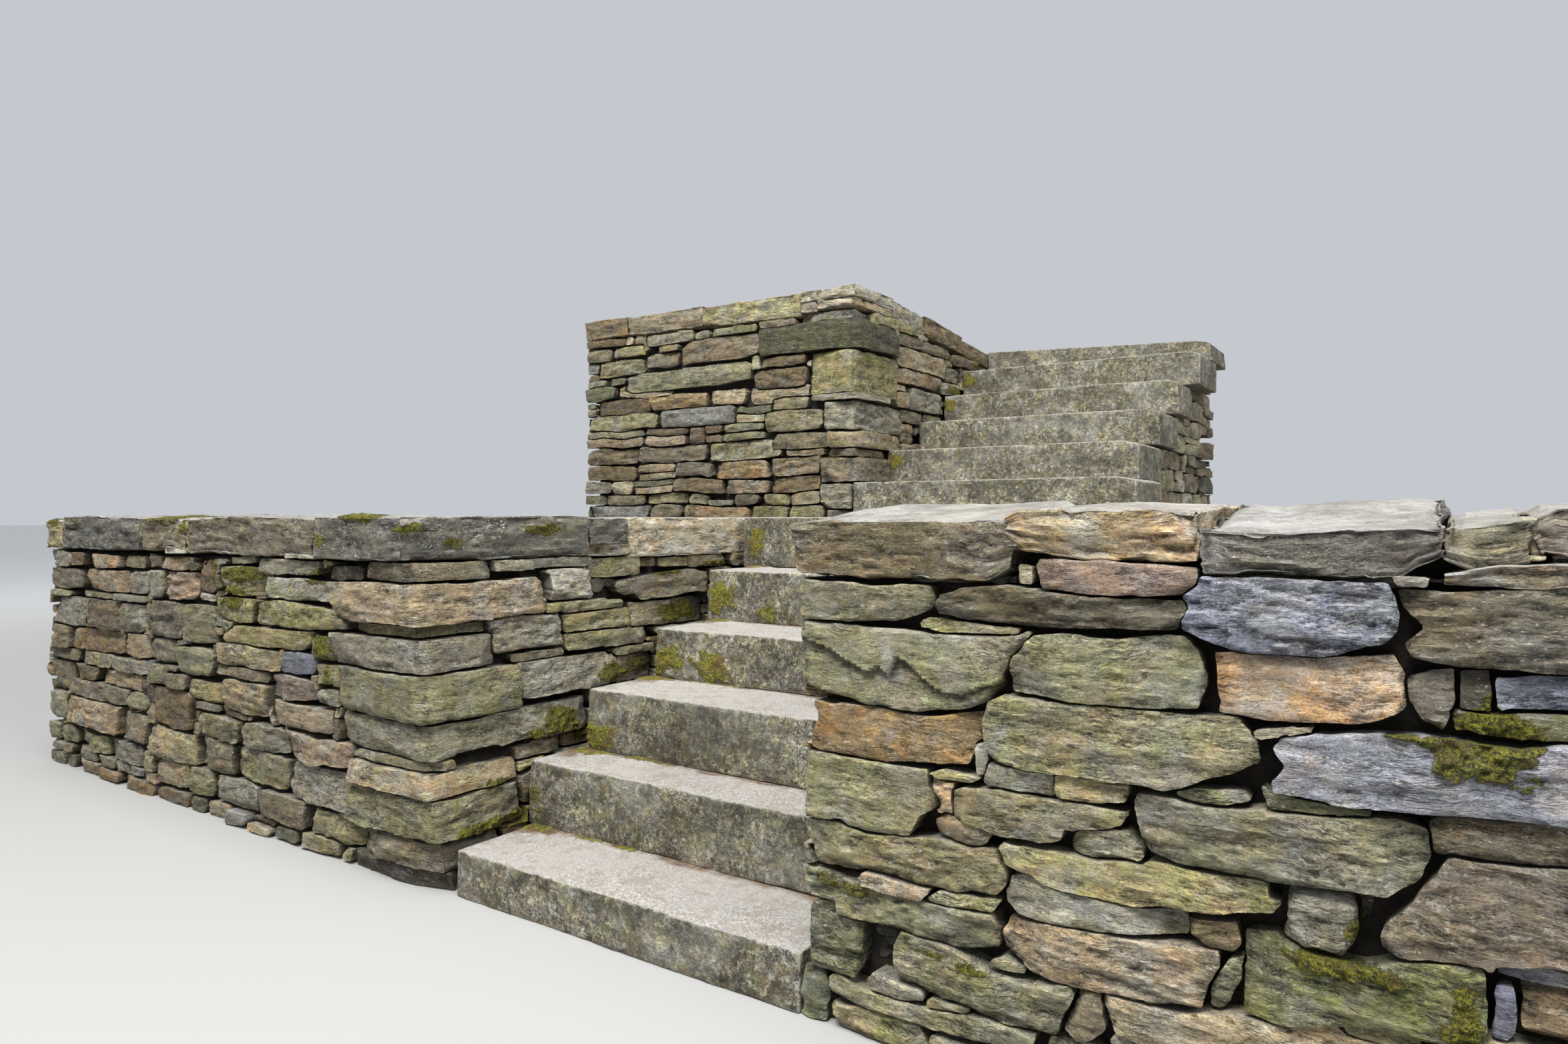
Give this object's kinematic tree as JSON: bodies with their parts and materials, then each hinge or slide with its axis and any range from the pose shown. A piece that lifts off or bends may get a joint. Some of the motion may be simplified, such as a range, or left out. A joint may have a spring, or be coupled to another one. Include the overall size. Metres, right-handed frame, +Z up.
{
  "type": "garden stair of granite slabs in dry-stone retaining walls",
  "caption": "Garden stair with two flights of split granite slabs and a landing, set into dry-stone retaining walls with large flat caps.",
  "frame": {"origin": "centre of the base's bounding box, on the ground at the foot of the stair", "axes": "+Y the way a person climbs, +X to that person's right along the wall faces, +Z up"},
  "size_m": [5.91, 5.274, 2.455],
  "materials": {
    "granite": "split granite, weathered, with pale treads",
    "flagstone": "riven and weathered",
    "fieldstone": "rough foliated schist",
    "cap_stone": "rough schist with worn pale tops",
    "rubble": "rough rubble"
  },
  "bodies": {
    "root": {"lower_step_1": "granite", "lower_step_2": "granite", "lower_step_3": "granite", "lower_step_4": "granite", "lower_step_5": "granite", "lower_step_6": "granite", "landing_slab_front": "flagstone", "landing_slab_middle": "flagstone", "landing_slab_back": "flagstone", "upper_step_1": "granite", "upper_step_2": "granite", "upper_step_3": "granite", "upper_step_4": "granite", "upper_step_5": "granite", "upper_step_6": "granite", "lower_flight_base": "rubble", "landing_base": "rubble", "upper_flight_base": "rubble", "lower_left_front_wall": "fieldstone", "lower_left_cheek_wall": "fieldstone", "lower_left_front_caps": "cap_stone", "lower_left_corner_cap": "cap_stone", "lower_left_cheek_cap": "cap_stone", "lower_right_front_wall": "fieldstone", "lower_right_cheek_wall": "fieldstone", "lower_right_front_caps": "cap_stone", "lower_right_cheek_caps": "cap_stone", "upper_left_front_wall": "fieldstone", "upper_left_side_wall": "fieldstone", "upper_left_front_caps": "cap_stone", "upper_left_side_caps": "cap_stone"}
  },
  "joints": []
}
